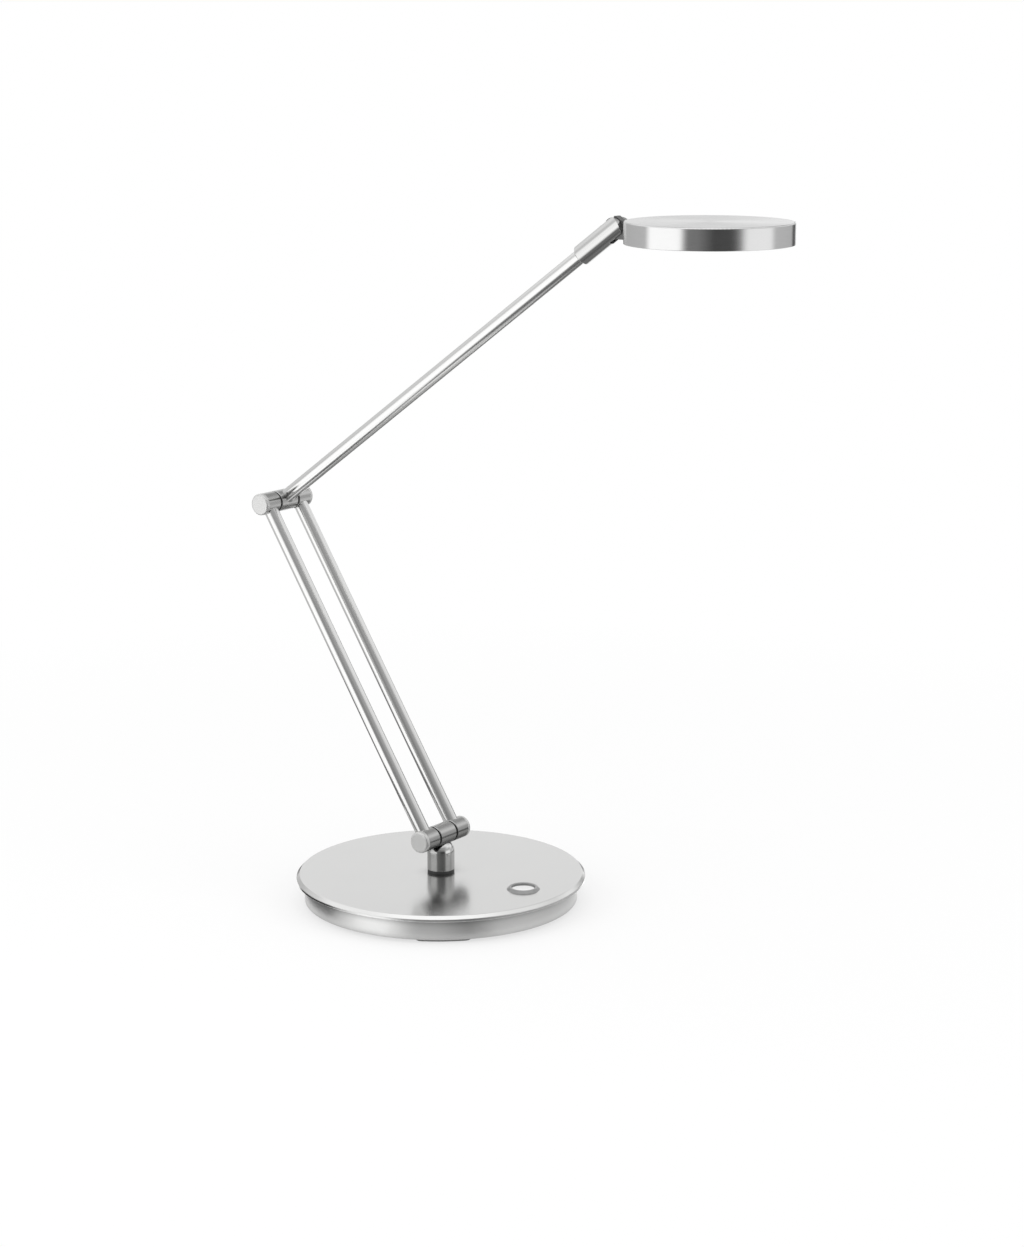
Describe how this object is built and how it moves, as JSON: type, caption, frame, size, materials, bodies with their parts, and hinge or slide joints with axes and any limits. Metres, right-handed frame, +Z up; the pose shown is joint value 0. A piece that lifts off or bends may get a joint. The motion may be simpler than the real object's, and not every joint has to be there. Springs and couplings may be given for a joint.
{
  "type": "led desk lamp",
  "caption": "Desk lamp with a weighted round base, a swivelling post, a twin-rod lower arm, a tube upper arm and a flat round LED head that rolls and tilts.",
  "frame": {"origin": "on the table under the post's axis, in the plane of the rubber feet", "axes": "+Z up along the post, +X from the post towards the button and the head, +Y along the hinge axes"},
  "size_m": [0.4082, 0.2, 0.4772],
  "materials": {
    "satin_nickel": "satin nickel-plated steel, finely brushed",
    "head_aluminium": "brushed aluminium",
    "bright_steel": "zinc-plated steel",
    "ballast_iron": "rough cast iron",
    "button_chrome": "polished chrome",
    "black_plastic": "fine-grained black plastic",
    "bezel_grey": "smooth dark grey plastic",
    "fibre_washer": "black friction fibre",
    "nylon": "natural nylon",
    "foot_rubber": "soft pale grey rubber",
    "plug_brass": "turned brass",
    "lead_sheath": "soft black sheath",
    "board_green": "glass-fibre board with solder mask",
    "board_parts": "moulded components",
    "led_board_white": "white-masked aluminium board",
    "led_phosphor": "LED packages with yellow phosphor",
    "thermal_grey": "grey thermal pad",
    "reflector_white": "white reflector plastic",
    "opal": "opal diffuser plastic"
  },
  "bodies": {
    "base": {"base_plate": "satin_nickel", "base_skirt": "satin_nickel", "cover_bosses": "bright_steel", "base_cover": "black_plastic", "cover_screws": "bright_steel", "base_weight": "ballast_iron", "rubber_feet": "foot_rubber", "button_bezel": "bezel_grey", "switch_housing": "black_plastic", "switch_dome": "bright_steel", "driver_board": "board_green", "board_standoffs": "nylon", "board_components": "board_parts", "power_inlet": "black_plastic", "inlet_pin": "plug_brass", "inlet_nut": "bright_steel", "inlet_lead": "lead_sheath", "stem_lead": "lead_sheath", "stop_pin": "bright_steel", "swivel_washer": "black_plastic"},
    "button": {"button_cap": "button_chrome", "switch_plunger": "nylon"},
    "post": {"stop_washer": "bright_steel", "spring_washer": "bright_steel", "stem_nut": "bright_steel", "swivel_stem": "bright_steel", "post": "satin_nickel", "lower_hub": "satin_nickel"},
    "lower_arm": {"lower_knuckle_near": "satin_nickel", "lower_knuckle_far": "satin_nickel", "elbow_knuckle_near": "satin_nickel", "elbow_knuckle_far": "satin_nickel", "barrel_bolts": "bright_steel", "barrel_nuts": "bright_steel", "friction_washers": "fibre_washer", "end_caps": "satin_nickel", "rod_near": "satin_nickel", "rod_far": "satin_nickel", "rod_plugs": "plug_brass", "rod_lead": "lead_sheath"},
    "upper_arm": {"elbow_hub": "satin_nickel", "upper_arm": "satin_nickel", "arm_root_plug": "plug_brass", "arm_tip_plug": "plug_brass", "arm_lead": "lead_sheath", "roll_bush": "nylon", "roll_screw": "bright_steel"},
    "sleeve": {"head_sleeve": "satin_nickel", "hinge_pin": "bright_steel", "tilt_washers": "fibre_washer"},
    "head": {"head_bracket": "black_plastic", "bracket_screws": "bright_steel", "head_shell": "head_aluminium", "thermal_pad": "thermal_grey", "led_board": "led_board_white", "led_chips": "led_phosphor", "led_screws": "bright_steel", "reflector": "reflector_white", "diffuser": "opal", "diffuser_ring": "head_aluminium"}
  },
  "joints": [
    {"name": "post_swivel", "type": "hinge", "parent": "base", "child": "post", "pos_m": [0, 0, 0.0205], "axis": [0, 0, 1], "range_deg": [-160, 160]},
    {"name": "lower_tilt", "type": "hinge", "parent": "post", "child": "lower_arm", "pos_m": [0, 0, 0.0468], "axis": [0, 1, 0], "range_deg": [-43, 57]},
    {"name": "elbow_bend", "type": "hinge", "parent": "lower_arm", "child": "upper_arm", "pos_m": [-0.13778, 0, 0.26729], "axis": [0, 1, 0], "range_deg": [-70, 50]},
    {"name": "head_roll", "type": "hinge", "parent": "upper_arm", "child": "sleeve", "pos_m": [0.14052, 0, 0.46949], "axis": [0.809, 0, 0.5878], "range_deg": [-90, 90]},
    {"name": "head_tilt", "type": "hinge", "parent": "sleeve", "child": "head", "pos_m": [0.14052, 0, 0.46949], "axis": [0, 1, 0], "range_deg": [-60, 55]},
    {"name": "button_press", "type": "slide", "parent": "base", "child": "button", "axis": [0, 0, -1], "range_m": [0, 0.0008], "stiffness_N_per_m": 1500, "springref_m": -0.0008, "deforming": ["switch_dome"]}
  ]
}
